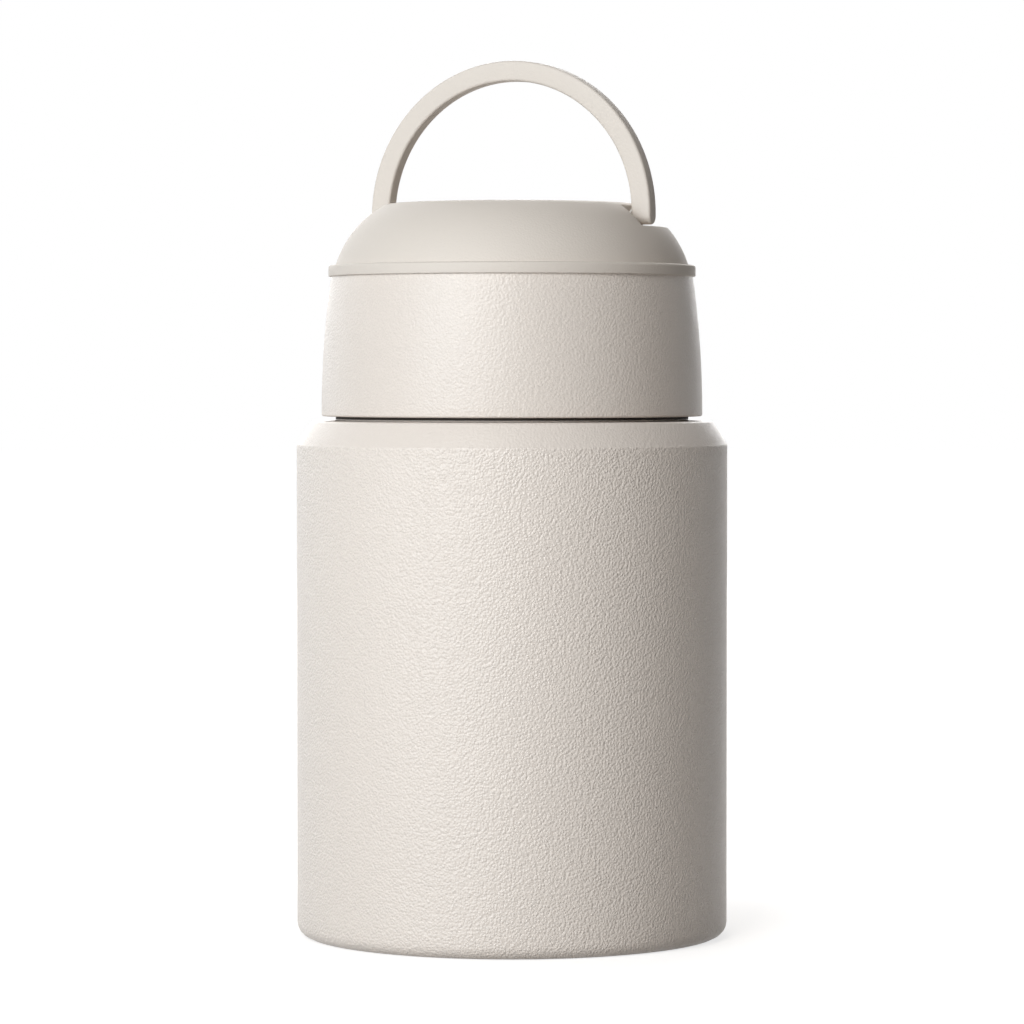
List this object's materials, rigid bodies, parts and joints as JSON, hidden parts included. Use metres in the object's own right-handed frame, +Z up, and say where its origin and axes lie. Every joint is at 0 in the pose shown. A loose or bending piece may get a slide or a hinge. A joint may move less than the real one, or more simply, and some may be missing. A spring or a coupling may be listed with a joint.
{
  "type": "insulated food jar",
  "caption": "Vacuum-walled food jar with straight sides, a stepped screw-on lid and a half-ring carry handle that folds back into a channel in the lid.",
  "frame": {"origin": "centre of the base, on the surface the jar stands on", "axes": "+Z up along the jar's axis of rotation; X along the handle's pivots, with the handle upright in the XZ plane; +Y is the back, where the handle folds down"},
  "size_m": [0.095, 0.095, 0.1928],
  "materials": {
    "powder_coat": "satin powder coat with a fine pebble",
    "lid_plastic": "matte",
    "plug_plastic": "satin",
    "steel": "satin",
    "copper_foil": "satin",
    "getter_alloy": "matte",
    "seal_glass": "gloss",
    "silicone": "matte",
    "foam": "matte",
    "washer_plastic": "satin"
  },
  "bodies": {
    "vessel": {"outer_shell": "powder_coat", "outer_base": "powder_coat", "base_cover": "steel", "vacuum_seal": "seal_glass", "inner_vessel": "steel", "heat_shield": "copper_foil", "getter_holder": "steel", "getter": "getter_alloy"},
    "seal": {"seal_ring": "silicone"},
    "lid": {"lid_sleeve": "powder_coat", "lid_body": "lid_plastic", "lid_plug": "plug_plastic", "lid_dome": "lid_plastic", "lid_insulation": "foam", "pivot_pins": "steel", "friction_washers": "washer_plastic"},
    "handle": {"handle": "lid_plastic"}
  },
  "joints": [
    {"name": "lid_lift", "type": "slide", "parent": "vessel", "child": "seal", "axis": [0, 0, 1], "range_m": [0, 0.0601]},
    {"name": "lid_turn", "type": "hinge", "parent": "seal", "child": "lid", "pos_m": [0, 0, 0.1335], "axis": [0, 0, 1], "range_deg": [0, 1800]},
    {"name": "handle_fold", "type": "hinge", "parent": "lid", "child": "handle", "pos_m": [0, 0, 0.1583], "axis": [-1, 0, 0], "range_deg": [-48, 90]}
  ],
  "couplings": [
    {"joint": "lid_lift", "follows": "lid_turn", "m_per_rad": 0.0019099}
  ]
}
